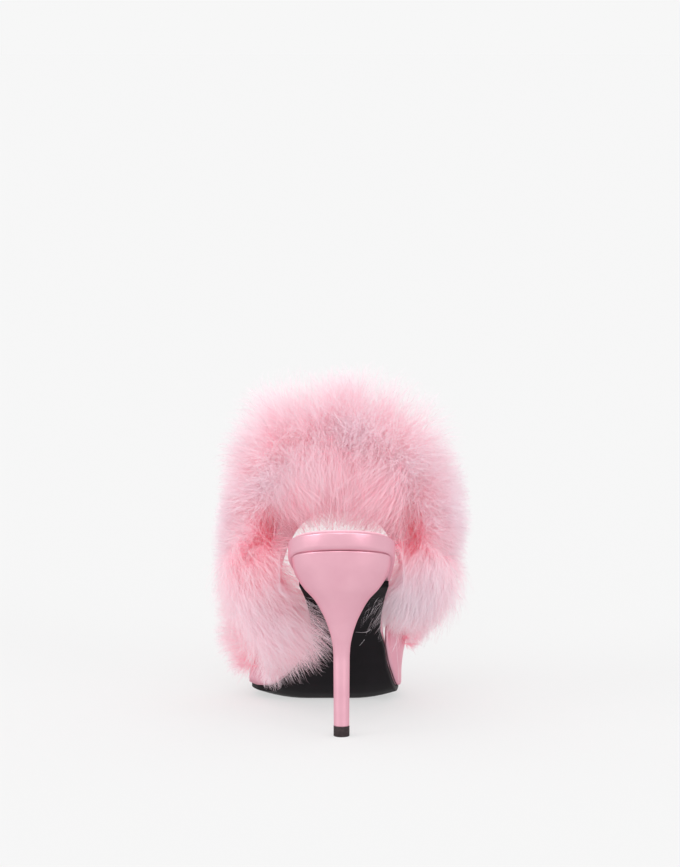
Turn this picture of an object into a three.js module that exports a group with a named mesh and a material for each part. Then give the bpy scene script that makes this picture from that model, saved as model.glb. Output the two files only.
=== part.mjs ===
// Feather sandal for the right foot: a stiletto mule with one wide satin band over the instep,
// and a deep collar of marabou down on the band. The toe, the throat and the back are open.
// Millimetres. The floor is z = 0, +Y runs from heel to toe and +X is the outer side of the foot.
// The origin is the middle of the heel tip's face on the floor.
import * as THREE from "three";

// Last, seen from above
const LENGTH = 200; // along the floor, from the back of the seat to the tip of the toe
const SEAT_BACK = 20; // from the heel tip's middle back to the seat's back
const SEAT_WIDTH = 56;
const SEAT_ROUND = 26; // length of the round at the seat's back
const WAIST_WIDTH = 40;
const BALL_WIDTH = 79.4;
const BALL_SWING = 9.1; // from the heel tip's middle to the ball's middle, towards the inner side
const TOE_ROUND = 52; // length of the round at the toe
const TOE_POWER = 1.9; // 2 rounds the toe as an ellipse, less makes it finer

// Last, seen from the side
const SEAT_HEIGHT = 101.8; // floor to the underside of the footbed, at the seat's back
const TOE_SPRING = 8;
const EDGE_LIFT = 4; // how far the sole curves up at its sides, under the ball
const INSTEP_HEIGHT = 137; // floor to the top of the foot, at the band's throat edge
const INSTEP_WIDTH = 75;
const INSTEP_SWING = 0.6; // from the heel tip's middle to the instep's middle, to the inner side

// Footbed, sock and outsole
const FOOTBED_SEAT = 9; // thickness at the back
const FOOTBED_FORE = 5; // thickness under the ball
const SEAT_HOLLOW = 1.6; // depth of the cup for the heel of the foot
const SOCK_THICKNESS = 1.2;
const SOCK_MARGIN = 2.6; // from the footbed's edge in to the sock's edge
const OUTSOLE_THICKNESS = 3;
const OUTSOLE_SET_IN = 1.3; // from the footbed's edge in to the outsole's edge, away from the band
const OUTSOLE_RIM = 1.1; // how far the outsole carries past the footbed, under the band
const RIM_FADE = 9; // length over which the rim comes out, behind the band and before it

// Heel and its top piece
const BREAST = 31; // from the heel tip's middle forward to the heel's breast, at the seat
const HEEL_SET_IN = 2.2; // from the footbed's edge in to the heel's edge
const BREAST_HOLLOW = 5;
const SHAFT_WIDTH = 8.5; // where the flare starts
const TIP_WIDTH = 8.1;
const TOP_PIECE_HEIGHT = 5.5;
const TOP_PIECE_LIP = 0.15; // how far the top piece stands proud of the satin cover

// Band over the instep, with its edges measured forward from the heel tip's middle
const WALL = 2;
const THROAT_AT_SOLE = 74;
const THROAT_AT_CREST = 95;
const MOUTH_AT_SOLE = 119;
const MOUTH_AT_CREST = 115;

// Marabou down on the band
const DOWN_REACH = 45; // from the band to the tips of the locks, at the crest
const BARE_OUTER = 20; // bare satin above the sole, on the outer side
const BARE_INNER = 1; // bare satin above the sole, on the inner side

const CLEARANCE = 0.3;
const BAND_ROOM = 0.7; // from the footbed's edge out to the band

const mix = (a, b, share) => a + (b - a) * share;
const clamp = (value) => Math.min(1, Math.max(0, value));
const ease = (value) => clamp(value) ** 2 * (3 - 2 * clamp(value));
const counted = (count, make) => Array.from({ length: count }, (_, i) => make(i));
const spread = (count, make) => counted(count, (i) => make(i / (count - 1)));

// A smooth line through one column of a table, which never swings past its rows.
function through(rows, column, along = "along") {
  const xs = rows.map((row) => row[along]);
  const ys = rows.map((row) => row[column]);
  const rises = counted(xs.length - 1, (i) => (ys[i + 1] - ys[i]) / (xs[i + 1] - xs[i]));
  const slopes = xs.map((_, i) => {
    const before = rises[Math.max(i - 1, 0)];
    const after = rises[Math.min(i, rises.length - 1)];
    return before * after > 0 ? (2 * before * after) / (before + after) : 0;
  });
  return (x) => {
    let i = 0;
    while (i < xs.length - 2 && x > xs[i + 1]) i += 1;
    const step = xs[i + 1] - xs[i];
    const t = clamp((x - xs[i]) / step);
    const start = (1 + 2 * t) * (1 - t) ** 2 * ys[i] + t * (1 - t) ** 2 * step * slopes[i];
    const end = t * t * (3 - 2 * t) * ys[i + 1] + t * t * (t - 1) * step * slopes[i + 1];
    return start + end;
  };
}

// Widths along the last: each row mixes the seat's, the waist's and the ball's width,
// and the swing is a share of the ball's swing.
const PLAN = [
  { along: 0.0, seat: 1.0, waist: 0.0, ball: 0.0, swing: 0.0 },
  { along: 0.14, seat: 1.0, waist: 0.0, ball: 0.0, swing: 0.0 },
  { along: 0.25, seat: 0.66, waist: 0.34, ball: 0.0, swing: -0.13 },
  { along: 0.325, seat: 0.27, waist: 0.73, ball: 0.0, swing: -0.21 },
  { along: 0.4, seat: 0.02, waist: 0.98, ball: 0.0, swing: -0.25 },
  { along: 0.45, seat: 0.0, waist: 1.0, ball: 0.0, swing: -0.24 },
  { along: 0.505, seat: 0.0, waist: 0.86, ball: 0.14, swing: -0.1 },
  { along: 0.55, seat: 0.0, waist: 0.61, ball: 0.39, swing: 0.14 },
  { along: 0.6, seat: 0.0, waist: 0.31, ball: 0.69, swing: 0.53 },
  { along: 0.65, seat: 0.0, waist: 0.09, ball: 0.91, swing: 0.86 },
  { along: 0.7, seat: 0.0, waist: 0.0, ball: 1.0, swing: 1.0 },
  { along: 0.77, seat: 0.0, waist: 0.0, ball: 1.0, swing: 1.04 },
  { along: 0.88, seat: 0.0, waist: 0.0, ball: 0.98, swing: 1.2 },
  { along: 1.0, seat: 0.0, waist: 0.0, ball: 0.94, swing: 1.6 },
];

// Side line of the footbed's underside: the rise is a share of the drop from seat to tread, the
// spring a share of the toe spring, and the lift a share of the edge lift.
const PROFILE = [
  { along: 0.0, rise: 1.0, spring: 0.0, lift: 0.0 },
  { along: 0.05, rise: 0.966, spring: 0.0, lift: 0.0 },
  { along: 0.1, rise: 0.927, spring: 0.0, lift: 0.0 },
  { along: 0.175, rise: 0.855, spring: 0.0, lift: 0.0 },
  { along: 0.25, rise: 0.765, spring: 0.0, lift: 0.0 },
  { along: 0.325, rise: 0.653, spring: 0.0, lift: 0.0 },
  { along: 0.4, rise: 0.507, spring: 0.0, lift: 0.0 },
  { along: 0.45, rise: 0.385, spring: 0.0, lift: 0.0 },
  { along: 0.495, rise: 0.262, spring: 0.0, lift: 0.1 },
  { along: 0.53, rise: 0.168, spring: 0.0, lift: 0.25 },
  { along: 0.56, rise: 0.094, spring: 0.0, lift: 0.45 },
  { along: 0.585, rise: 0.044, spring: 0.0, lift: 0.7 },
  { along: 0.61, rise: 0.012, spring: 0.0, lift: 0.9 },
  { along: 0.64, rise: 0.0, spring: 0.0, lift: 1.0 },
  { along: 0.825, rise: 0.0, spring: 0.0, lift: 0.85 },
  { along: 0.9, rise: 0.0, spring: 0.2, lift: 0.6 },
  { along: 0.95, rise: 0.0, spring: 0.5, lift: 0.45 },
  { along: 1.0, rise: 0.0, spring: 1.0, lift: 0.3 },
];

// Footbed thickness, a mix of its seat and forefoot thicknesses, and the hollow of its top
const FOOTBED = [
  { along: 0.0, seat: 1.0, fore: 0.0, hollow: 0.4 },
  { along: 0.16, seat: 0.9, fore: 0.1, hollow: 1.0 },
  { along: 0.32, seat: 0.68, fore: 0.3, hollow: 0.7 },
  { along: 0.5, seat: 0.3, fore: 0.65, hollow: 0.35 },
  { along: 0.66, seat: 0.0, fore: 1.0, hollow: 0.25 },
  { along: 1.0, seat: 0.0, fore: 0.9, hollow: 0.1 },
];

// Top of the foot, as a share of the instep height
const DORSUM = [
  { along: 0.4, height: 1.36 },
  { along: 0.48, height: 1.21 },
  { along: 0.525, height: 1.11 },
  { along: 0.575, height: 0.99 },
  { along: 0.63, height: 0.855 },
  { along: 0.68, height: 0.735 },
  { along: 0.74, height: 0.59 },
];

const planSeat = through(PLAN, "seat");
const planWaist = through(PLAN, "waist");
const planBall = through(PLAN, "ball");
const planSwing = through(PLAN, "swing");
const profileRise = through(PROFILE, "rise");
const profileSpring = through(PROFILE, "spring");
const profileLift = through(PROFILE, "lift");
const bedSeat = through(FOOTBED, "seat");
const bedFore = through(FOOTBED, "fore");
const bedHollow = through(FOOTBED, "hollow");
const dorsumHeight = through(DORSUM, "height");

const TREAD = OUTSOLE_THICKNESS + CLEARANCE; // footbed's underside above the floor, at the tread
const TIP = LENGTH - SEAT_BACK; // the toe's tip, forward of the heel tip
const share = (y) => (y + SEAT_BACK) / LENGTH;

// The outline's middle and half width at y, for an edge set in from the footbed's edge.
function plan(y, inset = 0) {
  const a = share(y);
  const width = planSeat(a) * SEAT_WIDTH + planWaist(a) * WAIST_WIDTH + planBall(a) * BALL_WIDTH;
  const backShare = clamp((SEAT_ROUND - SEAT_BACK - y) / (SEAT_ROUND - inset));
  const toeShare = clamp((y - TIP + TOE_ROUND) / (TOE_ROUND - inset));
  const round = Math.sqrt(1 - backShare ** 2) * Math.sqrt(1 - toeShare ** TOE_POWER);
  return { middle: -planSwing(a) * BALL_SWING, half: (width / 2 - inset) * round };
}

// Height of the footbed's underside along its middle, and at a place beside it: from a flat strip
// down the middle it curves up to both edges.
const FLAT_SHARE = 0.35;
const middleLine = (y) =>
  TREAD + profileRise(share(y)) * (SEAT_HEIGHT - TREAD) + profileSpring(share(y)) * TOE_SPRING;
function underside(y, x) {
  const { middle, half } = plan(y);
  const across = clamp((Math.abs(x - middle) / half - FLAT_SHARE) / (1 - FLAT_SHARE));
  return middleLine(y) + EDGE_LIFT * profileLift(share(y)) * across ** 2;
}

// What a thickness measures straight up, where the shoe is steep.
const upright = (y) => Math.hypot(1, middleLine(y + 0.5) - middleLine(y - 0.5));
const bedThickness = (y) =>
  (bedSeat(share(y)) * FOOTBED_SEAT + bedFore(share(y)) * FOOTBED_FORE) * upright(y);

// Stations along the shoe: even over the middle, and at even angles round an end.
const FIRST_ANGLE = 0.13;
const roundStations = (length, count) =>
  spread(count, (t) => length * (1 - Math.cos(mix(FIRST_ANGLE, Math.PI / 2, t))));
const evenStations = (from, to, count) => counted(count, (i) => mix(from, to, (i + 1) / (count + 1)));
const SEAT_STATIONS = roundStations(SEAT_ROUND, 8).map((y) => y - SEAT_BACK);
const toeStations = (inset) =>
  roundStations(TOE_ROUND - inset, 10).map((y) => TIP - inset - y).reverse();
const WAIST_STATIONS = evenStations(SEAT_ROUND - SEAT_BACK, TIP - TOE_ROUND, 19);
const BED_STATIONS = [...SEAT_STATIONS, ...WAIST_STATIONS, ...toeStations(0)];

// A closed solid through rings of points. Each end is closed by strips between facing points.
function loft(rings) {
  const n = rings[0].length;
  const faces = [];
  const quad = (a, b, c, d) => faces.push(a, b, c, a, c, d);
  for (let k = 0; k < rings.length - 1; k += 1)
    for (let i = 0; i < n; i += 1) {
      const next = (i + 1) % n;
      quad(k * n + i, k * n + next, (k + 1) * n + next, (k + 1) * n + i);
    }
  const last = (rings.length - 1) * n;
  for (let i = 0; i < n / 2 - 1; i += 1) {
    quad(n - 1 - i, n - 2 - i, i + 1, i);
    quad(last + i, last + i + 1, last + n - 2 - i, last + n - 1 - i);
  }
  return facingOut(rings.flat(), faces);
}

// A geometry of these points and faces, turned over where its faces point inwards.
function facingOut(points, faces) {
  let volume = 0;
  for (let i = 0; i < faces.length; i += 3) {
    const [a, b, c] = [points[faces[i]], points[faces[i + 1]], points[faces[i + 2]]];
    volume += a.dot(b.clone().cross(c));
  }
  if (volume < 0) faces.reverse();
  const geometry = new THREE.BufferGeometry();
  const position = new Float32Array(points.flatMap((p) => [p.x, p.y, p.z]));
  geometry.setAttribute("position", new THREE.BufferAttribute(position, 3));
  return geometry.setIndex(faces);
}

// Round of a slab's edge: how far in each column stands, and its underside and top as shares
// of the thickness.
const SOFT_EDGE = [
  { inset: 0.0, low: 0.28, high: 0.7 },
  { inset: 0.7, low: 0.07, high: 0.92 },
  { inset: 2.0, low: 0.0, high: 1.0 },
];
const CUT_EDGE = [
  { inset: 0.0, low: 0.3, high: 1.0 },
  { inset: 0.8, low: 0.0, high: 1.0 },
];

// One ring of a slab: its columns run from the inner to the outer side along the underside,
// and back along the top.
function slabRing(y, outline, edge, across, low, high) {
  const columns = [
    ...edge.map((row) => ({ ...row, side: -1 })),
    ...across.map((x) => ({ x, low: 0, high: 1 })),
    ...edge.map((row) => ({ ...row, side: 1 })).reverse(),
  ];
  const flat = Math.min(outline.half - edge.at(-1).inset, plan(y).half - SOFT_EDGE.at(-1).inset);
  const points = columns.map((column) => {
    const offset = column.side ? column.side * (outline.half - column.inset) : column.x * flat;
    return { x: outline.middle + offset, column };
  });
  const at = ({ x, column }, level) => {
    const z = mix(low(y, x), high(y, x), column[level]);
    return new THREE.Vector3(x, y, z);
  };
  return [...points.map((p) => at(p, "low")), ...points.reverse().map((p) => at(p, "high"))];
}

// Columns of the footbed, the sock and the outsole, as shares of the footbed's half width
const BED_COLUMNS = [-0.78, -0.57, -FLAT_SHARE, FLAT_SHARE, 0.57, 0.78];

// Top of the footbed: it cups the foot, level with its edge at the rim.
function bedTop(y, x) {
  const { middle, half } = plan(y);
  const across = clamp(Math.abs(x - middle) / Math.max(half, 1));
  const hollow = SEAT_HOLLOW * bedHollow(share(y)) * (1 - across ** 2) * clamp(half / SEAT_ROUND);
  return underside(y, x) + bedThickness(y) - hollow;
}

function footbed() {
  return loft(
    BED_STATIONS.map((y) => slabRing(y, plan(y), SOFT_EDGE, BED_COLUMNS, underside, bedTop)),
  );
}

// The sock lies on the footbed, with the same facets, so that the two never touch.
function sock() {
  const inside = BED_STATIONS.filter((y) => y > -SEAT_BACK + SOCK_MARGIN && y < TIP - SOCK_MARGIN);
  const low = (y, x) => bedTop(y, x) + CLEARANCE * upright(y);
  const high = (y, x) => bedTop(y, x) + (CLEARANCE + SOCK_THICKNESS) * upright(y);
  return loft(
    inside.map((y) => slabRing(y, plan(y, SOCK_MARGIN), CUT_EDGE, BED_COLUMNS, low, high)),
  );
}

// How far in from the footbed's edge the outsole's edge runs: it comes out under the band.
function outsoleInset(y) {
  const behind = ease((y - THROAT_AT_SOLE + RIM_FADE) / RIM_FADE);
  const before = ease((MOUTH_AT_SOLE + RIM_FADE - y) / RIM_FADE);
  return mix(OUTSOLE_SET_IN, -OUTSOLE_RIM, behind * before);
}

function outsole() {
  const low = (y, x) => underside(y, x) - (CLEARANCE + OUTSOLE_THICKNESS) * upright(y);
  const high = (y, x) => underside(y, x) - CLEARANCE * upright(y);
  const start = BREAST + CLEARANCE;
  const waist = WAIST_STATIONS.filter((y) => y > start + OUTSOLE_THICKNESS);
  const along = [start, ...waist, ...toeStations(OUTSOLE_SET_IN)];
  return loft(
    along.map((y) => slabRing(y, plan(y, outsoleInset(y)), CUT_EDGE, BED_COLUMNS, low, high)),
  );
}

// Heel: the level is a share of the way from the top piece to the seat, the flare a share of the
// way from the shaft's width to the seat's, and the lean how far the level follows the seat.
const HEEL = [
  { level: 0.0, flare: 0.0, lean: 0.0 },
  { level: 0.2, flare: 0.0, lean: 0.0 },
  { level: 0.4, flare: 0.0, lean: 0.0 },
  { level: 0.47, flare: 0.016, lean: 0.0 },
  { level: 0.54, flare: 0.07, lean: 0.02 },
  { level: 0.61, flare: 0.16, lean: 0.05 },
  { level: 0.68, flare: 0.29, lean: 0.12 },
  { level: 0.75, flare: 0.46, lean: 0.24 },
  { level: 0.82, flare: 0.72, lean: 0.42 },
  { level: 0.88, flare: 0.86, lean: 0.62 },
  { level: 0.94, flare: 0.96, lean: 0.82 },
  { level: 1.0, flare: 1.0, lean: 1.0 },
];
const HEEL_SIDES = 28;
const SHAFT_LEVEL = 0.4; // where the flare starts
const BREAST_SQUARE = 0.42; // 1 is a round breast, less is squarer
const BACK_POWER = 0.8; // less than 1 brings the heel's back out earlier than its sides

// One level of the heel: round at the shaft; at the seat, the footbed's outline and a straight
// breast, hollowed in its middle.
function heelRing({ level, flare, lean }) {
  const shaft = mix(TIP_WIDTH, SHAFT_WIDTH, clamp(level / SHAFT_LEVEL)) / 2;
  const seatMiddle = middleLine(0) - CLEARANCE;
  return counted(HEEL_SIDES, (i) => {
    const angle = ((i + 0.5) / HEEL_SIDES) * 2 * Math.PI;
    const behind = Math.cos(angle) > 0;
    const square = behind ? 1 : mix(1, BREAST_SQUARE, flare);
    const sideways = Math.sign(Math.sin(angle)) * Math.abs(Math.sin(angle)) ** square;
    const backwards = Math.sign(Math.cos(angle)) * Math.abs(Math.cos(angle)) ** square;
    const reach = behind
      ? mix(shaft, SEAT_BACK - HEEL_SET_IN, flare ** BACK_POWER)
      : mix(shaft, BREAST, flare) - BREAST_HOLLOW * flare * (1 - sideways ** 2);
    const y = -backwards * reach;
    const { middle, half } = plan(Math.max(y, SEAT_ROUND - SEAT_BACK), HEEL_SET_IN);
    const x = mix(0, middle, flare) + sideways * mix(shaft, half, flare);
    const z = mix(TOP_PIECE_HEIGHT, seatMiddle, level) + lean * (middleLine(y) - middleLine(0));
    return new THREE.Vector3(x, y, z);
  });
}

function heel() {
  return loft(HEEL.map(heelRing));
}

function topPiece() {
  const radius = TIP_WIDTH / 2 + TOP_PIECE_LIP;
  const piece = new THREE.CylinderGeometry(radius, radius, TOP_PIECE_HEIGHT, HEEL_SIDES);
  return piece.rotateX(Math.PI / 2).translate(0, 0, TOP_PIECE_HEIGHT / 2);
}

// Shape of the arch over the foot
const ARCH_POWER = 2.9; // 2 is an ellipse, more is squarer
const ARCH_EASE = 0.5; // how much closer the arch's steps lie at the sole and the crest
const WALL_UPRIGHT = 0.05; // share of the height over which the wall stands straight on the sole
const WALL_SETTLED = 0.5; // share of the height where it has come to the instep's width

const THROAT_POWER = 1.3; // more than 1 lets the throat's edge rise steeply from the sole

// Where the band's edges run at a share of the way up the arch.
const throatEdge = (up) => mix(THROAT_AT_SOLE, THROAT_AT_CREST, up ** THROAT_POWER);
const mouthEdge = (up) => mix(MOUTH_AT_SOLE, MOUTH_AT_CREST, up);

// A point of the last's side and top: arch runs from 0 at the outer sole edge over the crest at
// a half to 1 at the inner sole edge, and band runs from 0 at the throat to 1 at the mouth.
function lastPoint(arch, band) {
  const q = 1 - Math.abs(2 * arch - 1);
  const angle = (Math.PI / 2) * mix(q, ease(q), ARCH_EASE);
  const up = Math.sin(angle) ** (2 / ARCH_POWER);
  const out = Math.cos(angle) ** (2 / ARCH_POWER);
  const y = mix(throatEdge(up), mouthEdge(up), band);
  const sole = plan(y, -BAND_ROOM);
  const settled = ease((up - WALL_UPRIGHT) / (WALL_SETTLED - WALL_UPRIGHT));
  const half = mix(sole.half, INSTEP_WIDTH / 2, settled);
  const middle = mix(sole.middle, -INSTEP_SWING, settled);
  const x = middle + Math.sign(0.5 - arch) * out * half;
  const low = underside(y, x) + CLEARANCE;
  const high = INSTEP_HEIGHT * dorsumHeight(share(y));
  return new THREE.Vector3(x, y, mix(low, high, up));
}

// The same point moved straight out of the last, with the direction towards the mouth there,
// which come from the points a small step further along both ways.
function offLast(arch, band, distance) {
  const step = 0.004;
  const point = lastPoint(arch, band);
  const around = lastPoint(clamp(arch + step), band).sub(lastPoint(clamp(arch - step), band));
  const forward = lastPoint(arch, band + step).sub(lastPoint(arch, band - step)).normalize();
  const outward = forward.clone().cross(around).normalize();
  return { point: point.addScaledVector(outward, distance), forward };
}

const ARCH_STEPS = 44;
const BAND_STEPS = 8;
const bandShares = spread(BAND_STEPS, (t) => t);

function upper() {
  return loft(
    spread(ARCH_STEPS + 1, (arch) => [
      ...bandShares.map((band) => lastPoint(arch, band)),
      ...bandShares.toReversed().map((band) => offLast(arch, band, WALL).point),
    ]),
  );
}

// Section of the down from the mouth side round to the throat side: the place on the band,
// how far past its edge, and how far off it, the last two as shares of the reach.
const DOWN_SECTION = [
  { band: 1.0, past: 0.22, off: 0.06 },
  { band: 1.0, past: 0.42, off: 0.34 },
  { band: 1.0, past: 0.28, off: 0.64 },
  { band: 0.75, past: 0.0, off: 0.76 },
  { band: 0.3, past: 0.0, off: 0.78 },
  { band: 0.0, past: -0.3, off: 0.68 },
  { band: 0.0, past: -0.6, off: 0.38 },
  { band: 0.0, past: -0.4, off: 0.05 },
];

// Reach of the down along the arch, as a share of the reach at the crest
const DOWN_ARCH = [
  { arch: 0.0, reach: 0.1 },
  { arch: 0.06, reach: 0.22 },
  { arch: 0.1, reach: 0.5 },
  { arch: 0.15, reach: 0.7 },
  { arch: 0.24, reach: 0.84 },
  { arch: 0.32, reach: 0.98 },
  { arch: 0.4, reach: 0.98 },
  { arch: 0.5, reach: 1.0 },
  { arch: 0.6, reach: 1.06 },
  { arch: 0.68, reach: 1.06 },
  { arch: 0.76, reach: 0.88 },
  { arch: 0.85, reach: 0.74 },
  { arch: 0.93, reach: 0.6 },
  { arch: 0.97, reach: 0.42 },
  { arch: 1.0, reach: 0.25 },
];
const downReach = through(DOWN_ARCH, "reach", "arch");

function downPoint(arch, { band, past, off }) {
  const reach = DOWN_REACH * downReach(arch);
  const { point, forward } = offLast(arch, band, WALL + CLEARANCE + off * reach);
  return point.addScaledVector(forward, past * reach);
}

// A point of the body's outer surface: round runs from 0 at the mouth side to 1 at the throat.
function downSurface(arch, round) {
  const place = round * (DOWN_SECTION.length - 1);
  const i = Math.min(Math.floor(place), DOWN_SECTION.length - 2);
  return downPoint(arch, DOWN_SECTION[i]).lerp(downPoint(arch, DOWN_SECTION[i + 1]), place - i);
}

// The steps of the arch that carry down, between the bare ends of the band, which are measured up
// its middle.
const BAND_MIDDLE = 0.6;
const downSteps = counted(ARCH_STEPS + 1, (i) => i / ARCH_STEPS).filter((arch) => {
  const [end, bare] = arch < 0.5 ? [0, BARE_OUTER] : [1, BARE_INNER];
  return lastPoint(arch, BAND_MIDDLE).z > lastPoint(end, BAND_MIDDLE).z + bare;
});

// A point of the down's back, the clearance off the band's own facets: between two of the band's steps
// it lies on the line that joins them.
function downBack(arch, band) {
  const step = Math.min(Math.floor(arch * ARCH_STEPS), ARCH_STEPS - 1);
  const [from, to] = [step, step + 1].map((i) => offLast(i / ARCH_STEPS, band, WALL + CLEARANCE));
  return from.point.lerp(to.point, arch * ARCH_STEPS - step);
}

// Locks: every other point of every other ring is drawn out of the body into a tip, away from
// a line along the band. A sine of the ring and the column leans and lengthens the locks unevenly,
// the same way every time, and each tip droops by a share of its length.
const DOWN_COLUMNS = 16;
const LOCK_LENGTH = 0.3; // of the reach
const LOCK_LEAN = 0.25;
const LOCK_DROOP = 0.2;
const LOCK_UNEVEN = 0.3;
const LOCK_LINE = 0.35; // where that line runs, from the throat's edge to the mouth's
const uneven = (ring, column, kind) => Math.sin(ring * 12.9 + column * 4.1 + kind * 7.7);

function lockTip(root, arch, ring, column) {
  const direction = root.clone().sub(offLast(arch, LOCK_LINE, WALL).point).normalize();
  const lean = [1, 2, 3].map((kind) => LOCK_LEAN * uneven(ring, column, kind));
  direction.add(new THREE.Vector3(...lean)).normalize();
  const length = DOWN_REACH * downReach(arch) * LOCK_LENGTH;
  const drawn = length * (1 + LOCK_UNEVEN * uneven(ring, column, 4));
  const tip = root.clone().addScaledVector(direction, drawn);
  return tip.setZ(tip.z - LOCK_DROOP * drawn);
}

function marabouTrim() {
  const rings = 2 * (downSteps.length - 1) + 1;
  return loft(
    spread(rings, (t) => mix(downSteps[0], downSteps.at(-1), t)).map((arch, ring) => [
      ...bandShares.map((band) => downBack(arch, band)),
      ...counted(DOWN_COLUMNS, (column) => {
        const root = downSurface(arch, column / (DOWN_COLUMNS - 1));
        const drawn = ring % 2 === 0 && (column + ring / 2) % 2 === 1;
        return drawn ? lockTip(root, arch, ring, column) : root;
      }),
    ]),
  );
}

const SATIN = new THREE.MeshStandardMaterial({ color: 0xe7a9ba, roughness: 0.42, metalness: 0 });
const DOWN = new THREE.MeshStandardMaterial({ color: 0xf3b7c6, roughness: 0.95, metalness: 0 });
const LINING = new THREE.MeshStandardMaterial({ color: 0xe9b3c0, roughness: 0.5, metalness: 0 });
const LEATHER = new THREE.MeshStandardMaterial({ color: 0x221b20, roughness: 0.45, metalness: 0 });
const RUBBER = new THREE.MeshStandardMaterial({ color: 0x2b2526, roughness: 0.6, metalness: 0 });

function piece(name, geometry, material) {
  const mesh = new THREE.Mesh(geometry, material);
  mesh.name = name;
  return mesh;
}

const sandal = new THREE.Group();
sandal.add(piece("outsole", outsole(), LEATHER));
sandal.add(piece("footbed", footbed(), SATIN));
sandal.add(piece("sock", sock(), LINING));
sandal.add(piece("heel", heel(), SATIN));
sandal.add(piece("top_piece", topPiece(), RUBBER));
sandal.add(piece("upper", upper(), SATIN));
sandal.add(piece("marabou_trim", marabouTrim(), DOWN));

export default sandal;
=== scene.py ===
"""Feather sandal for the right foot: the finish of its satin, leather and down, round its solids.

Shapes are worked out in millimetres, in the frame of the solids: the floor is z = 0, +Y runs from
heel to toe, +X is the outer side of the foot, and the origin is under the heel tip.
"""

import bpy
import numpy as np
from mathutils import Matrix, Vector


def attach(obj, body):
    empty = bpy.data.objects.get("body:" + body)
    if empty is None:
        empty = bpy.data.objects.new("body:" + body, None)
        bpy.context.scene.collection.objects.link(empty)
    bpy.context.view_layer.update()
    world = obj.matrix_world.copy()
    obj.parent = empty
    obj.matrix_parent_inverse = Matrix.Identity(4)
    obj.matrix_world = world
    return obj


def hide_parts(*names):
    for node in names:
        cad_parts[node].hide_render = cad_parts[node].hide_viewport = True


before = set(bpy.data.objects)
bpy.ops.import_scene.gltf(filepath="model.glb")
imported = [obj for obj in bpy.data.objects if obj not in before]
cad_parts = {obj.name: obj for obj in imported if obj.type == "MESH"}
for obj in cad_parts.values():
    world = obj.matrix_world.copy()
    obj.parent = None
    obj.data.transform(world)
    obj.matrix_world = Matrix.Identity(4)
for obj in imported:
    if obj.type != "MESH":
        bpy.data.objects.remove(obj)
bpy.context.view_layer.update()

MM = 0.001
random = np.random.default_rng(20)

# Last, footbed and outsole
LENGTH = 200
SEAT_BACK = 20
SEAT_WIDTH = 56
SEAT_ROUND = 26
WAIST_WIDTH = 40
BALL_WIDTH = 79.4
BALL_SWING = 9.1
TOE_ROUND = 52
TOE_POWER = 1.9
SEAT_HEIGHT = 101.8
TOE_SPRING = 8
EDGE_LIFT = 4
FLAT_SHARE = 0.35
INSTEP_HEIGHT = 137
INSTEP_WIDTH = 75
INSTEP_SWING = 0.6
FOOTBED_SEAT = 9
FOOTBED_FORE = 5
SEAT_HOLLOW = 1.6
SOCK_THICKNESS = 1.2
SOCK_MARGIN = 2.6
OUTSOLE_THICKNESS = 3
OUTSOLE_SET_IN = 1.3
OUTSOLE_RIM = 1.1
RIM_FADE = 9
FOOTBED_ROUNDS = (2.2, 1.3)  # radius of the edge below and above
SOCK_ROUNDS = (0.3, 0.6)
OUTSOLE_ROUNDS = (0.9, 0.3)

# Heel
BREAST = 31
HEEL_SET_IN = 2.2
BREAST_HOLLOW = 5
BREAST_SQUARE = 0.42
BACK_POWER = 0.8
SHAFT_WIDTH = 8.5
TIP_WIDTH = 8.1
TOP_PIECE_HEIGHT = 5.5
TOP_PIECE_LIP = 0.15
TOP_PIECE_ROUND = 0.35
TOP_PIECE_BREAK = 0.1
TOP_PIECE_SIDES = 64
HEEL_RINGS = 141
HEEL_SIDES = 128

# Band over the instep
WALL = 2
BAND_OFF = 0.3  # how far off the last the satin starts
BAND_MARGIN = 0.025  # share of the band that its rounded edges take at each side
LINING = 0.25
LINING_MARGIN = 0.035
THROAT_AT_SOLE = 74
THROAT_AT_CREST = 95
MOUTH_AT_SOLE = 119
MOUTH_AT_CREST = 115
ARCH_POWER = 2.9
ARCH_EASE = 0.5
THROAT_POWER = 1.3
WALL_UPRIGHT = 0.05
WALL_SETTLED = 0.5
PROBE = 0.004  # step along arch and band that gives their directions

CLEARANCE = 0.3
BAND_ROOM = 0.7

TREAD = OUTSOLE_THICKNESS + CLEARANCE
TIP = LENGTH - SEAT_BACK

# Widths along the last. Columns: along, seat, waist, ball, swing
PLAN = np.array([
    (0.0, 1.0, 0.0, 0.0, 0.0),
    (0.14, 1.0, 0.0, 0.0, 0.0),
    (0.25, 0.66, 0.34, 0.0, -0.13),
    (0.325, 0.27, 0.73, 0.0, -0.21),
    (0.4, 0.02, 0.98, 0.0, -0.25),
    (0.45, 0.0, 1.0, 0.0, -0.24),
    (0.505, 0.0, 0.86, 0.14, -0.1),
    (0.55, 0.0, 0.61, 0.39, 0.14),
    (0.6, 0.0, 0.31, 0.69, 0.53),
    (0.65, 0.0, 0.09, 0.91, 0.86),
    (0.7, 0.0, 0.0, 1.0, 1.0),
    (0.77, 0.0, 0.0, 1.0, 1.04),
    (0.88, 0.0, 0.0, 0.98, 1.2),
    (1.0, 0.0, 0.0, 0.94, 1.6),
])

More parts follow.
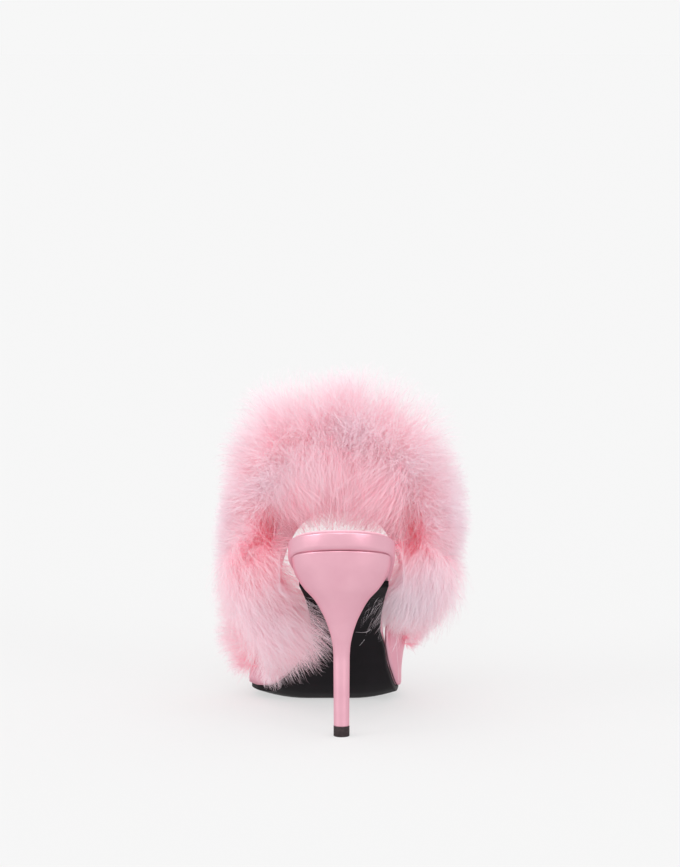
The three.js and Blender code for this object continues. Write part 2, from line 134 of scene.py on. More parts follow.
# Side line of the footbed's underside. Columns: along, rise, spring, lift
PROFILE = np.array([
    (0.0, 1.0, 0.0, 0.0),
    (0.05, 0.966, 0.0, 0.0),
    (0.1, 0.927, 0.0, 0.0),
    (0.175, 0.855, 0.0, 0.0),
    (0.25, 0.765, 0.0, 0.0),
    (0.325, 0.653, 0.0, 0.0),
    (0.4, 0.507, 0.0, 0.0),
    (0.45, 0.385, 0.0, 0.0),
    (0.495, 0.262, 0.0, 0.1),
    (0.53, 0.168, 0.0, 0.25),
    (0.56, 0.094, 0.0, 0.45),
    (0.585, 0.044, 0.0, 0.7),
    (0.61, 0.012, 0.0, 0.9),
    (0.64, 0.0, 0.0, 1.0),
    (0.825, 0.0, 0.0, 0.85),
    (0.9, 0.0, 0.2, 0.6),
    (0.95, 0.0, 0.5, 0.45),
    (1.0, 0.0, 1.0, 0.3),
])

# Footbed. Columns: along, share of the seat's thickness, of the forefoot's, hollow
FOOTBED = np.array([
    (0.0, 1.0, 0.0, 0.4),
    (0.16, 0.9, 0.1, 1.0),
    (0.32, 0.68, 0.3, 0.7),
    (0.5, 0.3, 0.65, 0.35),
    (0.66, 0.0, 1.0, 0.25),
    (1.0, 0.0, 0.9, 0.1),
])

# Top of the foot. Columns: along, share of the instep height
DORSUM = np.array([
    (0.4, 1.36),
    (0.48, 1.21),
    (0.525, 1.11),
    (0.575, 0.99),
    (0.63, 0.855),
    (0.68, 0.735),
    (0.74, 0.59),
])

# Heel. Columns: level from top piece to seat, flare from shaft to seat, lean with the seat
HEEL = np.array([
    (0.0, 0.0, 0.0),
    (0.2, 0.0, 0.0),
    (0.4, 0.0, 0.0),
    (0.47, 0.016, 0.0),
    (0.54, 0.07, 0.02),
    (0.61, 0.16, 0.05),
    (0.68, 0.29, 0.12),
    (0.75, 0.46, 0.24),
    (0.82, 0.72, 0.42),
    (0.88, 0.86, 0.62),
    (0.94, 0.96, 0.82),
    (1.0, 1.0, 1.0),
])
SHAFT_LEVEL = 0.4  # where the flare starts

# Where the camera stands, and how it looks at the shoe
CAMERA_AT = (-0.0008, -1.893, 0.378)
CAMERA_DOWN = 6.58  # degrees below the horizon
LENS = 152.3


# Shapes of the last, the sole and the heel


def mix(a, b, share):
    """The value a share of the way from a to b."""
    return a + (b - a) * share


def ease(value):
    """From 0 to 1 with a level start and end: three times the square less twice the cube."""
    held = np.clip(value, 0, 1)
    return held**2 * (3 - 2 * held)


def unit(vectors):
    """Vectors divided by their length."""
    return vectors / np.linalg.norm(vectors, axis=-1, keepdims=True)


def smooth_line(rows, column):
    """A cubic line through one column of a table against its first. Its slope at a row is the
    harmonic mean of the rises on both sides, or level where those differ in sign."""
    xs, ys = rows[:, 0], rows[:, column]
    rises = np.diff(ys) / np.diff(xs)
    before = np.concatenate([rises[:1], rises])
    after = np.concatenate([rises, rises[-1:]])
    same = before * after > 0
    slopes = np.where(same, 2 * before * after / np.where(same, before + after, 1), 0)

    def line(x):
        i = np.clip(np.searchsorted(xs, x, side="right") - 1, 0, len(xs) - 2)
        step = xs[i + 1] - xs[i]
        t = np.clip((x - xs[i]) / step, 0, 1)
        start = (1 + 2 * t) * (1 - t) ** 2 * ys[i] + t * (1 - t) ** 2 * step * slopes[i]
        end = t * t * (3 - 2 * t) * ys[i + 1] + t * t * (t - 1) * step * slopes[i + 1]
        return start + end

    return line


plan_seat, plan_waist, plan_ball, plan_swing = [smooth_line(PLAN, c) for c in (1, 2, 3, 4)]
profile_rise, profile_spring, profile_lift = [smooth_line(PROFILE, c) for c in (1, 2, 3)]
bed_seat, bed_fore, bed_hollow = [smooth_line(FOOTBED, c) for c in (1, 2, 3)]
dorsum_height = smooth_line(DORSUM, 1)
heel_flare, heel_lean = [smooth_line(HEEL, c) for c in (1, 2)]


def along(y):
    """Share of the length at y."""
    return (y + SEAT_BACK) / LENGTH


def plan(y, inset=0.0):
    """Middle and half width of the outline at y, set in by a distance: a mix of the three widths,
    rounded at each end by the root of one less a power of the way into the round."""
    a = along(y)
    width = plan_seat(a) * SEAT_WIDTH + plan_waist(a) * WAIST_WIDTH + plan_ball(a) * BALL_WIDTH
    back = np.clip((SEAT_ROUND - SEAT_BACK - y) / (SEAT_ROUND - inset), 0, 1)
    toe = np.clip((y - TIP + TOE_ROUND) / (TOE_ROUND - inset), 0, 1)
    rounding = np.sqrt(1 - back**2) * np.sqrt(1 - toe**TOE_POWER)
    return -plan_swing(a) * BALL_SWING, (width / 2 - inset) * rounding


def middle_line(y):
    """Height of the footbed's underside along its middle: the drop from the seat to the tread by
    the profile's rise, and the toe spring by its spring."""
    a = along(y)
    return TREAD + profile_rise(a) * (SEAT_HEIGHT - TREAD) + profile_spring(a) * TOE_SPRING


def underside(y, x):
    """The middle line, with a lift beside its flat strip that grows as a square to the edges."""
    middle, half = plan(y)
    reach = np.abs(x - middle) / np.maximum(half, 1e-6)
    across = np.clip((reach - FLAT_SHARE) / (1 - FLAT_SHARE), 0, 1)
    return middle_line(y) + EDGE_LIFT * profile_lift(along(y)) * across**2


def upright(y):
    """What one millimetre of thickness measures straight up, on the slope of the middle line."""
    return np.hypot(1, middle_line(y + 0.5) - middle_line(y - 0.5))


def bed_top(y, x):
    """The underside and the footbed's thickness, less a hollow that fades as a square."""
    middle, half = plan(y)
    thickness = bed_seat(along(y)) * FOOTBED_SEAT + bed_fore(along(y)) * FOOTBED_FORE
    across = np.clip(np.abs(x - middle) / np.maximum(half, 1), 0, 1)
    hollow = SEAT_HOLLOW * bed_hollow(along(y)) * (1 - across**2) * np.clip(half / SEAT_ROUND, 0, 1)
    return underside(y, x) + thickness * upright(y) - hollow


def outsole_inset(y):
    """How far in the outsole's edge runs: it comes out past the footbed under the band."""
    behind = ease((y - THROAT_AT_SOLE + RIM_FADE) / RIM_FADE)
    before = ease((MOUTH_AT_SOLE + RIM_FADE - y) / RIM_FADE)
    return mix(OUTSOLE_SET_IN, -OUTSOLE_RIM, behind * before)


FLAT_SHARES = np.array([0.08, 0.2, 0.32, 0.44, 0.56, 0.68, 0.8, 0.9])
EDGE_STEPS = np.linspace(0, np.pi / 2, 9)
DRAWN_IN = 0.3  # how much shorter than the outline the innermost ring is


def slab(low, high, under, over, set_in=np.zeros_like, start=-SEAT_BACK, toe=TIP, count=320):
    """Rings of a slab between two surfaces, from the middle of its underside out to its edge and
    back over its top. Each ring is the outline, set in or drawn in, and the edge turns through a
    quarter circle of radius under below and over above."""
    turn = (np.arange(count) + 0.5) / count * 2 * np.pi
    full = np.ones_like(FLAT_SHARES)
    below, above = 1 - np.sin(EDGE_STEPS), 1 - np.cos(EDGE_STEPS)
    inset = np.concatenate([under * full, under * below, over * below[::-1], over * full])
    lift = np.concatenate([0 * full, under * above, over * above[::-1], 0 * full])
    share = np.concatenate([FLAT_SHARES, 0 * below + 1, 0 * below + 1, FLAT_SHARES[::-1]])
    top = np.arange(len(inset)) >= len(inset) / 2
    inset, lift, share, top = [column[:, None] for column in (inset, lift, share, top)]
    y = mix(toe - inset, start + inset, (1 - np.cos(turn)) / 2)
    middle, half = plan(y, inset + set_in(y))
    x = middle + np.sign(np.sin(turn)) * half * share
    y = mix(y, (start + toe) / 2, DRAWN_IN * (1 - share))
    z = np.where(top, high(y, x) - lift * upright(y), low(y, x) + lift * upright(y))
    return np.stack([x, y, z], -1)


def heel_rings(levels, sides):
    """Rings of the heel from its tip to the seat: round at the shaft, and at the seat the outline
    behind and a squarer, hollowed breast in front, mixed by the flare of each level."""
    level = levels[:, None]
    flare, lean = heel_flare(level), heel_lean(level)
    angle = (np.arange(sides) + 0.5) / sides * 2 * np.pi
    shaft = mix(TIP_WIDTH, SHAFT_WIDTH, np.clip(level / SHAFT_LEVEL, 0, 1)) / 2
    behind = np.cos(angle) > 0
    square = np.where(behind, 1, mix(1, BREAST_SQUARE, flare))
    sideways = np.sign(np.sin(angle)) * np.abs(np.sin(angle)) ** square
    backwards = np.sign(np.cos(angle)) * np.abs(np.cos(angle)) ** square
    rear = mix(shaft, SEAT_BACK - HEEL_SET_IN, flare**BACK_POWER)
    front = mix(shaft, BREAST, flare) - BREAST_HOLLOW * flare * (1 - sideways**2)
    y = -backwards * np.where(behind, rear, front)
    middle, half = plan(np.maximum(y, SEAT_ROUND - SEAT_BACK), HEEL_SET_IN)
    x = mix(0, middle, flare) + sideways * mix(shaft, half, flare)
    seat = middle_line(0) - CLEARANCE
    z = mix(TOP_PIECE_HEIGHT, seat, level) + lean * (middle_line(y) - middle_line(0))
    return np.stack([x, y, z], -1)


def last_point(arch, band):
    """A point of the last's side and top: arch runs from 0 at the outer sole edge over the crest
    at a half to 1 at the inner edge, as a squared-off ellipse, and band from throat to mouth."""
    q = 1 - np.abs(2 * arch - 1)
    angle = np.pi / 2 * mix(q, ease(q), ARCH_EASE)
    up = np.sin(angle) ** (2 / ARCH_POWER)
    out = np.cos(angle) ** (2 / ARCH_POWER)
    throat = mix(THROAT_AT_SOLE, THROAT_AT_CREST, up**THROAT_POWER)
    mouth = mix(MOUTH_AT_SOLE, MOUTH_AT_CREST, up)
    y = mix(throat, mouth, band)
    middle, half = plan(y, -BAND_ROOM)
    settled = ease((up - WALL_UPRIGHT) / (WALL_SETTLED - WALL_UPRIGHT))
    half = mix(half, INSTEP_WIDTH / 2, settled)
    middle = mix(middle, -INSTEP_SWING, settled)
    x = middle + np.sign(0.5 - arch) * out * half
    low = underside(y, x) + CLEARANCE
    high = INSTEP_HEIGHT * dorsum_height(along(y))
    return np.stack([x, y, mix(low, high, up)], -1)


def off_last(arch, band):
    """The last's point with its directions out of the last and towards the mouth, taken from the
    points a little further along both ways."""
    point = last_point(arch, band)
    low, high = np.clip(arch - PROBE, 0, 1), np.clip(arch + PROBE, 0, 1)
    around = last_point(high, band) - last_point(low, band)
    forward = unit(last_point(arch, band + PROBE) - last_point(arch, band - PROBE))
    return point, unit(np.cross(forward, around)), forward


def wall(inner, outer, margin, arches=181, bands=25):
    """Rings of a wall over the foot between two distances off the last. Its section runs over the
    inside from throat to mouth, in a half circle round the mouth edge, and back the same way."""
    half_turn = np.linspace(-np.pi / 2, np.pi / 2, 10)[1:-1]
    edge = (outer - inner) / 2
    shares = np.linspace(margin, 1 - margin, bands)
    round_off = inner + edge * (1 + np.sin(half_turn))
    band = np.concatenate([shares, 0 * half_turn + 1 - margin, shares[::-1], 0 * half_turn + margin])
    off = np.concatenate([0 * shares + inner, round_off, 0 * shares + outer, round_off[::-1]])
    past = np.concatenate([0 * shares, edge * np.cos(half_turn), 0 * shares, -edge * np.cos(half_turn)])
    point, outward, forward = off_last(np.linspace(0, 1, arches)[:, None], band[None])
    rings = point + outward * off[:, None] + forward * past[:, None]
    return np.roll(rings, len(half_turn) // 2, axis=1)


def closed_faces(rings):
    """Faces of a closed form: quads between neighbouring rings, and across the first and the last
    ring strips of quads that join each point to the one facing it. They point outwards, because
    they are turned over where the volume they enclose comes out negative."""
    count, around = rings.shape[:2]
    index = np.arange(count * around).reshape(count, around)
    here, there = index[:-1], index[1:]
    sides = np.stack([here, np.roll(here, -1, 1), np.roll(there, -1, 1), there], -1).reshape(-1, 4)
    i = np.arange(around // 2 - 1)
    strip = np.stack([i, i + 1, around - 2 - i, around - 1 - i], -1)
    faces = np.concatenate([sides, strip[:, ::-1], index[-1, 0] + strip])
    a, b, c, d = rings.reshape(-1, 3)[faces.T]
    volume = np.sum(a * (np.cross(b, c) + np.cross(c, d)))
    return faces if volume > 0 else faces[:, ::-1]


def piece(name, points, faces, look, node):
    """A mesh of points and faces with its material, which rides on the shoe and replaces a node."""
    mesh = bpy.data.meshes.new(name)
    mesh.from_pydata(points.reshape(-1, 3) * MM, [], faces.tolist())
    mesh.shade_smooth()
    mesh.materials.append(look)
    made = bpy.data.objects.new(name, mesh)
    bpy.context.scene.collection.objects.link(made)
    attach(made, "root")
    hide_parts(node)
    return made


# Marabou down: plumes rooted on the band, each a thin stem with long barbs all round it

# How far the down reaches off the band, in millimetres. Columns: arch, reach
REACH = np.array([
    (0.0, 2.0),
    (0.035, 3.0),
    (0.05, 8.0),
    (0.075, 14.0),
    (0.11, 25.0),
    (0.185, 37.0),
    (0.28, 42.0),
    (0.34, 51.0),
    (0.4, 55.0),
    (0.5, 51.0),
    (0.6, 55.0),
    (0.66, 50.0),
    (0.72, 41.0),
    (0.815, 34.0),
    (0.89, 33.0),
    (0.93, 31.0),
    (0.965, 24.0),
    (0.985, 15.0),
    (1.0, 10.0),
])
down_reach = smooth_line(REACH, 1)

# Groups of plumes. Columns: plumes, lowest and highest arch, band from and to, turn from straight
# out of the arch towards the heel and its spread in degrees, reach, length of the barbs, and how
# far they are swept into the arch, or out of it below zero, towards the heel and down
GROUPS = {
    "halo": (270, 0.055, 0.985, 0.0, 0.14, 28, 40, 1.0, 0.62, -0.12, 0.0, 0.1),
    "back": (125, 0.05, 0.985, 0.14, 0.5, 8, 36, 1.0, 0.62, 0.0, 0.0, 0.1),
    "front": (110, 0.05, 0.985, 0.5, 0.86, -15, 36, 1.0, 0.62, 0.0, 0.0, 0.1),
    "mouth": (75, 0.05, 0.985, 0.86, 1.0, -34, 32, 0.9, 0.6, 0.0, 0.0, 0.1),
    "crown": (85, 0.24, 0.76, 0.0, 0.06, 50, 26, 0.8, 0.8, 0.45, 0.1, 0.05),
    "throat": (90, 0.25, 0.75, 0.0, 0.03, 72, 28, 0.83, 0.78, 0.9, 0.1, 0.28),
    "wisps": (8, 0.27, 0.73, 0.0, 0.03, 80, 16, 1.15, 0.9, 0.95, 0.1, 0.3),
    "sides": (60, 0.22, 0.78, 0.0, 0.03, 58, 26, 0.8, 0.55, -0.25, 0.1, 0.2),
    "inner_lobe": (80, 0.86, 0.992, 0.0, 0.15, 66, 26, 1.45, 0.75, 0.5, 0.1, 0.75),
    "inner_hem": (45, 0.94, 0.997, 0.0, 0.5, 50, 34, 1.0, 0.8, 0.15, 0.0, 0.75),
    "outer_lobe": (60, 0.085, 0.15, 0.0, 0.12, 80, 26, 1.5, 0.8, 0.3, 0.0, 1.15),
    "outer_hem": (22, 0.07, 0.11, 0.0, 0.1, 75, 24, 1.9, 0.85, 0.3, 0.0, 0.9),
}
BARBS = 115  # on each plume
BARE = 0.04  # share of the stem that has none at its root
CROWDING = 0.75  # power that sets them closer towards the tip
TIP_BARB = 0.85  # how long one at the tip is, as a share of one at the root
LENGTH_SPREAD = (0.6, 1.06)  # least and most share of its own length
BARB_WIDTH = 0.13
WIDTH_SPREAD = (0.6, 1.4)
SPLAY = (68, 14)  # degrees between a barb and its stem, at the root and at the tip
SPLAY_STRAY = 8
PLUME_SPREAD = (0.92, 1.03)
STEM_WIDTH = 0.4
STEM_SHARE = 0.45  # of the reach
OVERREACH = 1.35  # how much longer a plume is than its reach, before it is held back
HELD_FROM = 0.7  # of the reach
STRAY = 0.14  # how far a plume's direction strays
WAVE = 0.19  # how far a barb strays from its bend
TAPER = 0.6  # how much of a strand's width is gone just before its tip
KEPT_DEEP = 0.3  # how much of the stem's colour barbs keep that are swept into the arch
ALONG = np.array([0.0, 0.3, 0.6, 0.85, 1.0])  # where a strand has its points
OPENING_HALF = 33  # half width of the opening that is kept free beside the footbed
OPENING_MIDDLE = 18  # half width of its middle, where nothing is moved
OPENING_LOW = 62
OPENING_HIGH = 98
OPENING_FADE = 8  # height over which it eases in and out
MOVE_FADE = 6  # width over which the move eases in
PIECE_STRANDS = 28000  # of seven triangles each, so that a piece stays under 200,000
CURLS = 34
CURL_POINTS = 26
CURL_ARCHES = (0.07, 0.13)
CURL_BANDS = (0, 0.05)
CURL_TURNS = (0.4, 1.2)
CURL_RADII = (2, 7)  # at the free end
CURL_LENGTHS = (34, 64)
CURL_WIDTH = 0.36
CURL_STRAY = 0.3
CURL_LIFT = 3  # how far off the band's outside they start
CURL_WAY = np.array([-1.0, 0.0, -0.3, -0.75])  # out of the arch, and along the three axes


def plumes(count, low_arch, high_arch, low_band, high_band, turn, spread, reach):
    """Roots, headings, ways out of the arch and lengths of a group's plumes. Their roots lie off
    the band's outside, even by its length. A heading turns from the way out towards the heel."""
    spaced = np.linspace(low_arch, high_arch, 200)
    steps = np.linalg.norm(np.diff(last_point(spaced, 0.5), axis=0), axis=1)
    walked = np.concatenate([[0], np.cumsum(steps)])
    arch = np.interp(random.uniform(0, walked[-1], count), walked, spaced)
    point, outward, _ = off_last(arch, random.uniform(low_band, high_band, count))
    way_out = unit(outward * (1, 0, 1))
    angle = np.radians(turn + spread * random.uniform(-1, 1, count))[:, None]
    heading = np.cos(angle) * way_out - np.sin(angle) * np.array([0, 1, 0])
    heading = unit(heading + STRAY * random.normal(size=(count, 3)))
    length = down_reach(arch) * reach * OVERREACH * random.uniform(*PLUME_SPREAD, count)
    return point + outward * WALL, heading, way_out, length


def strands(root, heading, way_out, length, share, inward, backward, downward):
    """Middle lines, widths and reach of a group's strands: the stems, and barbs that leave them at
    an angle which closes towards the tip, in any direction, and bend with the sweep as a square.
    Barbs are then held back and kept out of the opening."""
    stem = root[:, None] + (length * STEM_SHARE)[:, None, None] * heading[:, None] * ALONG[:, None]
    s = mix(BARE, 1, random.uniform(0, 1, (len(root), BARBS, 1)) ** CROWDING)
    size = length[:, None, None] * share * mix(1, TIP_BARB, s)
    size = size * random.uniform(*LENGTH_SPREAD, s.shape)
    ahead = heading[:, None] + 0 * s
    side = unit(np.cross(ahead, random.normal(size=ahead.shape)))
    splay = np.radians(mix(*SPLAY, s) + random.normal(0, SPLAY_STRAY, s.shape))
    way = np.cos(splay) * ahead + np.sin(splay) * side
    sweep = -inward * way_out - np.array([0, backward, downward])
    bend = sweep[:, None] + WAVE * random.normal(size=ahead.shape)
    start = root[:, None] + (length * STEM_SHARE)[:, None, None] * ahead * s
    t = ALONG[:, None]
    barb = start[..., None, :] + size[..., None] * (way[..., None, :] * t + bend[..., None, :] * t**2)
    barb = kept_open(held_back(barb, root[:, None, None], (length / OVERREACH)[:, None, None]))
    reached = (s * STEM_SHARE + ALONG * size / length[:, None, None]) * (1 - KEPT_DEEP * inward)
    lines = np.concatenate([stem, barb.reshape(-1, *stem.shape[1:])])
    barb_width = BARB_WIDTH * random.uniform(*WIDTH_SPREAD, s.size)
    widths = np.concatenate([np.full(len(stem), STEM_WIDTH), barb_width])
    stem_reached = 0 * stem[..., 0] + ALONG * STEM_SHARE
    return lines, widths, np.concatenate([stem_reached, reached.reshape(-1, len(ALONG))])


def held_back(points, root, reach):
    """Points drawn in towards their root: past a share of the reach, a hyperbolic tangent brings
    the distance no further than the reach."""
    away = points - root
    distance = np.linalg.norm(away, axis=-1)
    free, rest = HELD_FROM * reach, (1 - HELD_FROM) * reach
    held = np.where(distance > free, free + rest * np.tanh((distance - free) / rest), distance)
    return root + away * (held / np.maximum(distance, 1e-6))[..., None]


def kept_open(points):
    """Points beside the footbed moved sideways out of the opening. Its half width eases in and
    out over its height, and the move eases in past its middle."""
    x, z = points[..., 0], points[..., 2]
    tall = ease((z - OPENING_LOW) / OPENING_FADE) * ease((OPENING_HIGH - z) / OPENING_FADE)
    half = OPENING_HALF * tall
    moved = ease((np.abs(x) - OPENING_MIDDLE) / MOVE_FADE) * np.maximum(half - np.abs(x), 0)
    return points + (np.sign(x) * moved)[..., None] * np.array([1, 0, 0])


def ribbons(lines, widths):
    """Points of a ribbon along each line: pairs that narrow as a square, and a tip. A ribbon faces
    any way round its line."""
    across = np.cross(lines[:, 1] - lines[:, 0], random.normal(size=lines[:, 0].shape))
    narrowing = 1 - TAPER * np.linspace(0, 1, lines.shape[1])[:-1] ** 2
    offset = unit(across)[:, None] * (widths[:, None] / 2 * narrowing)[..., None]
    body, tip = lines[:, :-1], lines[:, -1:]
    return np.concatenate([body + offset, body - offset, tip], 1)


def curls():
    """Middle lines, widths and reach of loose strands at the outer lobe: each runs inwards and
    down along a straight line, and winds round it in a circle that opens as it goes."""
    count = CURLS
    point, outward, _ = off_last(
        random.uniform(*CURL_ARCHES, count), random.uniform(*CURL_BANDS, count)
    )
    way_out = unit(outward * (1, 0, 1))
    ahead = unit(CURL_WAY[0] * way_out + CURL_WAY[1:] + CURL_STRAY * random.normal(size=(count, 3)))
    side = unit(np.cross(ahead, random.normal(size=ahead.shape)))
    t = np.linspace(0, 1, CURL_POINTS)[:, None]
    turn = 2 * np.pi * random.uniform(*CURL_TURNS, (count, 1, 1)) * t
    radius = random.uniform(*CURL_RADII, (count, 1, 1)) * t
    length = random.uniform(*CURL_LENGTHS, (count, 1, 1))
    wound = np.cos(turn) * side[:, None] + np.sin(turn) * np.cross(ahead, side)[:, None]
    lines = (point + outward * (WALL + CURL_LIFT))[:, None] + length * ahead[:, None] * t + radius * wound
    return lines, np.full(count, CURL_WIDTH), np.full((count, CURL_POINTS), 1.0)


def down_piece(name, lines, widths, reached, look):
    """A mesh of ribbons, quads and a tip each, that keeps how far out along its plume each point
    lies in the attribute reached."""
    points = ribbons(lines, widths)
    each = points.shape[1]
    first = each * np.arange(len(points))[:, None, None]
    pairs = each // 2
    pair = np.arange(pairs - 1)[:, None]
    quads = (first + pair + np.array([0, 1, pairs + 1, pairs])).reshape(-1, 4)
    tips = (first + np.array([[pairs - 1, each - 1, each - 2]])).reshape(-1, 3)
    mesh = bpy.data.meshes.new(name)
    mesh.vertices.add(each * len(points))
    mesh.vertices.foreach_set("co", (points * MM).ravel())
    mesh.loops.add(quads.size + tips.size)
    mesh.loops.foreach_set("vertex_index", np.concatenate([quads.ravel(), tips.ravel()]))
    mesh.polygons.add(len(quads) + len(tips))
    starts = np.concatenate([4 * np.arange(len(quads)), quads.size + 3 * np.arange(len(tips))])
    mesh.polygons.foreach_set("loop_start", starts)
    mesh.update(calc_edges=True)
    out = np.concatenate([reached[:, :-1], reached[:, :-1], reached[:, -1:]], 1)
    mesh.attributes.new("reached", "FLOAT", "POINT").data.foreach_set("value", out.ravel())
    mesh.shade_smooth()
    mesh.materials.append(look)
    made = bpy.data.objects.new(name, mesh)
    bpy.context.scene.collection.objects.link(made)
    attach(made, "root")
    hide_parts("marabou_trim")


# Materials


def new_look(name, **sockets):
    """A material with these values on its Principled shader, and its nodes and links."""
    look = bpy.data.materials.new(name)
    look.use_nodes = True
    shader = look.node_tree.nodes["Principled BSDF"]
    for socket, value in sockets.items():
        shader.inputs[socket.replace("_", " ")].default_value = value
    return look, look.node_tree, shader


def noise(tree, scale, detail=4.0, stretch=(1, 1, 1)):
    """A noise on Object coordinates, its lumps scale to the metre, squeezed by stretch."""
    place = tree.nodes.new("ShaderNodeTexCoord")
    mapping = tree.nodes.new("ShaderNodeMapping")
    mapping.inputs["Scale"].default_value = stretch
    made = tree.nodes.new("ShaderNodeTexNoise")
    made.inputs["Scale"].default_value = scale
    made.inputs["Detail"].default_value = detail
    tree.links.new(place.outputs["Object"], mapping.inputs["Vector"])
    tree.links.new(mapping.outputs["Vector"], made.inputs["Vector"])
    return made.outputs["Fac"]


def ramp(tree, value, stops):
    """Colours by a value. Each stop is a place and a colour."""
    made = tree.nodes.new("ShaderNodeValToRGB")
    elements = made.color_ramp.elements
    while len(elements) < len(stops):
        elements.new(0.5)
    for element, (place, colour) in zip(elements, stops):
        element.position = place
        element.color = (*colour, 1)
    tree.links.new(value, made.inputs["Fac"])
    return made.outputs["Color"]


def bump(tree, shader, height, distance):
    """A bump of this depth, in metres, at full strength on a shader."""
    made = tree.nodes.new("ShaderNodeBump")
    made.inputs["Distance"].default_value = distance
    made.inputs["Strength"].default_value = 1.0
    tree.links.new(height, made.inputs["Height"])
    tree.links.new(made.outputs["Normal"], shader.inputs["Normal"])


def satin_look():
    """Pink satin: a tinted gloss, fine upright streaks for its weave, and a soft mottling of its
    colour."""
    look, tree, shader = new_look(
        "satin", Metallic=0.6, Roughness=0.32, Specular_Tint=(0.95, 0.5, 0.6, 1)
    )
    mottle = noise(tree, 60)
    colour = ramp(tree, mottle, [(0.3, (0.66, 0.345, 0.42)), (0.7, (0.71, 0.39, 0.465))])
    tree.links.new(colour, shader.inputs["Base Color"])
    bump(tree, shader, noise(tree, 5000, 1.0, (1, 1, 0.25)), 0.00003)
    return look


def leather_look():
    """Black sole leather: a dull gloss over a fine grain."""
    look, tree, shader = new_look("sole_leather", Roughness=0.5, Specular_IOR_Level=0.11)
    colour = ramp(tree, noise(tree, 90), [(0.3, (0.003, 0.002, 0.003)), (0.7, (0.006, 0.004, 0.006))])
    tree.links.new(colour, shader.inputs["Base Color"])
    bump(tree, shader, noise(tree, 1800, 3.0), 0.00004)
    return look


def rubber_look():
    """Near-black rubber with a fine speckle and a rough skin."""
    look, tree, shader = new_look("top_piece", Roughness=0.62, Specular_IOR_Level=0.25)
    colour = ramp(tree, noise(tree, 900), [(0.35, (0.018, 0.011, 0.012)), (0.65, (0.032, 0.02, 0.022))])
    tree.links.new(colour, shader.inputs["Base Color"])
    bump(tree, shader, noise(tree, 2600, 2.0), 0.00005)
    return look


def lining_look():
    """Pink lining leather: a soft sheen over a faint pebbled grain."""
    look, tree, shader = new_look("lining", Roughness=0.5, Sheen_Weight=0.1)
    colour = ramp(tree, noise(tree, 70), [(0.3, (0.78, 0.42, 0.50)), (0.7, (0.83, 0.48, 0.56))])
    tree.links.new(colour, shader.inputs["Base Color"])
    bump(tree, shader, noise(tree, 1500, 2.0), 0.00005)
    return look


PATCHINESS = 0.3  # how far the down's patches shift its colour along the ramp
LET_THROUGH = 0.5  # share of the light that passes a barb


def down_look():
    """Marabou down: deep pink at the stems and pale at the tips, in soft patches, a matt surface
    mixed with one that lets light through."""
    look, tree, shader = new_look("marabou", Roughness=1.0, Specular_IOR_Level=0.15)
    reached = tree.nodes.new("ShaderNodeAttribute")
    reached.attribute_name = "reached"
    patch = noise(tree, 45, 2.0)
    shift = tree.nodes.new("ShaderNodeMath")
    shift.operation = "MULTIPLY_ADD"
    shift.inputs[1].default_value = PATCHINESS
    tree.links.new(patch, shift.inputs[0])
    tree.links.new(reached.outputs["Fac"], shift.inputs[2])
    colour = ramp(tree, shift.outputs["Value"], [
        (0.22, (1.0, 0.27, 0.40)),
        (0.45, (0.98, 0.54, 0.64)),
        (0.68, (0.95, 0.77, 0.82)),
        (0.95, (0.9, 0.84, 0.88)),
    ])
    tree.links.new(colour, shader.inputs["Base Color"])
    through = tree.nodes.new("ShaderNodeBsdfTranslucent")
    tree.links.new(colour, through.inputs["Color"])
    both = tree.nodes.new("ShaderNodeMixShader")
    both.inputs["Fac"].default_value = LET_THROUGH
    tree.links.new(shader.outputs["BSDF"], both.inputs[1])
    tree.links.new(through.outputs["BSDF"], both.inputs[2])
    tree.links.new(both.outputs["Shader"], tree.nodes["Material Output"].inputs["Surface"])
    return look


# The pieces


def build_shoe():
    """The sole, the heel and the band, each a smooth form over its solid."""
    satin, lining = satin_look(), lining_look()
    rings = slab(underside, bed_top, *FOOTBED_ROUNDS)
    piece("footbed_cover", rings, closed_faces(rings), satin, "footbed")

    def sock_low(y, x):
        return bed_top(y, x) + CLEARANCE * upright(y)

    def sock_high(y, x):
        return bed_top(y, x) + (CLEARANCE + SOCK_THICKNESS) * upright(y)

    margin = SOCK_MARGIN
    rings = slab(
        sock_low, sock_high, *SOCK_ROUNDS, lambda y: 0 * y + margin, -SEAT_BACK + margin, TIP - margin
    )
    piece("sock_lining", rings, closed_faces(rings), lining, "sock")

    def sole_low(y, x):
        return underside(y, x) - (CLEARANCE + OUTSOLE_THICKNESS) * upright(y)

    def sole_high(y, x):
        return underside(y, x) - CLEARANCE * upright(y)

    rings = slab(
        sole_low, sole_high, *OUTSOLE_ROUNDS, outsole_inset, BREAST + CLEARANCE, TIP - OUTSOLE_SET_IN
    )
    piece("outsole_leather", rings, closed_faces(rings), leather_look(), "outsole")

    rings = heel_rings(np.linspace(0, 1, HEEL_RINGS), HEEL_SIDES)
    piece("heel_cover", rings, closed_faces(rings), satin, "heel")

    turn = (np.arange(TOP_PIECE_SIDES) + 0.5) / TOP_PIECE_SIDES * 2 * np.pi
    edge, corner = TOP_PIECE_ROUND, TOP_PIECE_BREAK
    radius = TIP_WIDTH / 2 + TOP_PIECE_LIP - np.array([edge, corner, 0, 0, corner])[:, None]
    level = np.array([0, corner, edge, TOP_PIECE_HEIGHT - corner, TOP_PIECE_HEIGHT])[:, None]
    rings = np.stack([radius * np.sin(turn), -radius * np.cos(turn), level + 0 * turn], -1)
    piece("heel_tip", rings, closed_faces(rings), rubber_look(), "top_piece")

    rings = wall(BAND_OFF, WALL, BAND_MARGIN)
    piece("band", rings, closed_faces(rings), satin, "upper")
    rings = wall(0, LINING, LINING_MARGIN)
    piece("band_lining", rings, closed_faces(rings), lining, "upper")


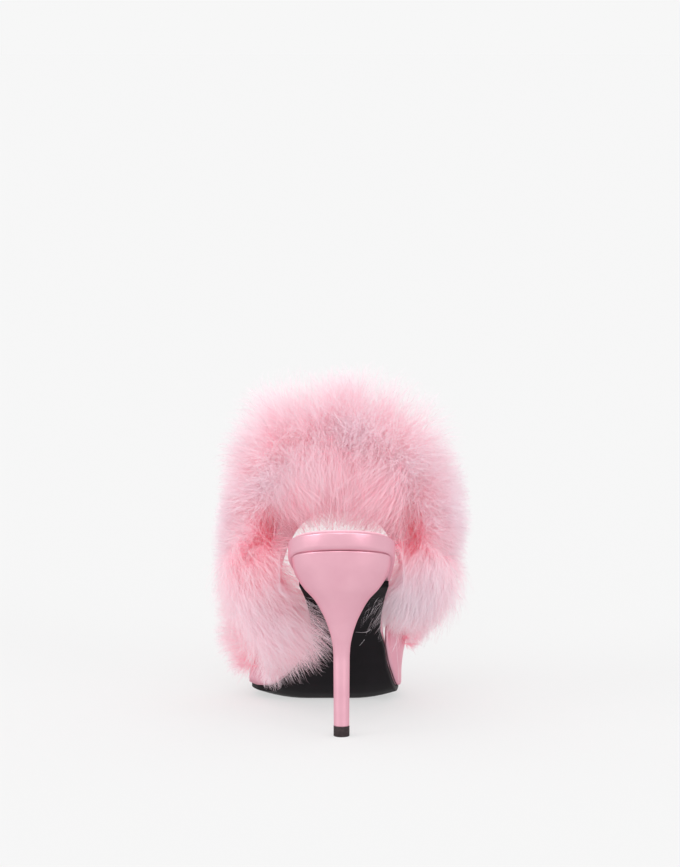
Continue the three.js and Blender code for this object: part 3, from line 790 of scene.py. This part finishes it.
def build_down():
    """The marabou down, in pieces of at most so many strands from each group of plumes."""
    look = down_look()
    for name, group in GROUPS.items():
        lines, widths, reached = strands(*plumes(*group[:8]), *group[8:])
        parts = np.array_split(np.arange(len(lines)), 1 + len(lines) // PIECE_STRANDS)
        for number, part in enumerate(parts, 1):
            down_piece(f"marabou_{name}_{number}", lines[part], widths[part], reached[part], look)
    down_piece("marabou_curls", *curls(), look)


# Studio


def camera():
    """A long lens behind the heel, a little above it."""
    made = bpy.data.objects.new("camera", bpy.data.cameras.new("camera"))
    bpy.context.scene.collection.objects.link(made)
    made.location = CAMERA_AT
    made.rotation_euler = (np.radians(90 - CAMERA_DOWN), 0, 0)
    made.data.lens = LENS
    bpy.context.scene.camera = made


def far_softbox(name, azimuth, elevation, strength, width):
    """A sun of this angular width, which comes from an azimuth right of the camera's side."""
    light = bpy.data.lights.new(name, "SUN")
    light.energy = strength
    light.angle = np.radians(width)
    made = bpy.data.objects.new(name, light)
    a, e = np.radians(azimuth), np.radians(elevation)
    towards = Vector((np.sin(a) * np.cos(e), -np.cos(a) * np.cos(e), np.sin(e)))
    made.rotation_euler = towards.to_track_quat("Z", "Y").to_euler()
    bpy.context.scene.collection.objects.link(made)


BACKDROP = 0.93  # strength of the world behind the floor
FLOOR_SHADE = (0.3, 0.3, 0.3, 1)
FLOOR_GLOW = 0.555  # makes the lit floor as bright as the backdrop

# Columns: degrees right of the camera's side, degrees up, strength, degrees wide
SOFTBOXES = {
    "left": (-62, 10, 1.3, 40),
    "right": (42, 10, 0.9, 30),
    "front": (-5, 28, 0.7, 40),
    "overhead": (0, 80, 0.25, 60),
}


def studio():
    """A white room: an even world, far softboxes, a floor that glows so that shadows stay faint
    on it, and enough bounces for light to reach into the down."""
    bpy.context.scene.view_settings.view_transform = "Standard"
    bounces = bpy.context.scene.cycles
    bounces.max_bounces = 24
    bounces.diffuse_bounces = bounces.transmission_bounces = 16
    world = bpy.data.worlds.new("studio")
    bpy.context.scene.world = world
    world.use_nodes = True
    world.node_tree.nodes["Background"].inputs["Color"].default_value = (1, 1, 1, 1)
    world.node_tree.nodes["Background"].inputs["Strength"].default_value = BACKDROP
    for name, box in SOFTBOXES.items():
        far_softbox(name, *box)

    bpy.ops.mesh.primitive_plane_add(size=60)
    floor = bpy.context.object
    floor.name = "floor"
    look, _, shader = new_look("floor", Roughness=1.0, Specular_IOR_Level=0.0)
    shader.inputs["Base Color"].default_value = FLOOR_SHADE
    shader.inputs["Emission Color"].default_value = (1, 1, 1, 1)
    shader.inputs["Emission Strength"].default_value = FLOOR_GLOW
    floor.data.materials.append(look)


build_shoe()
build_down()
camera()
studio()
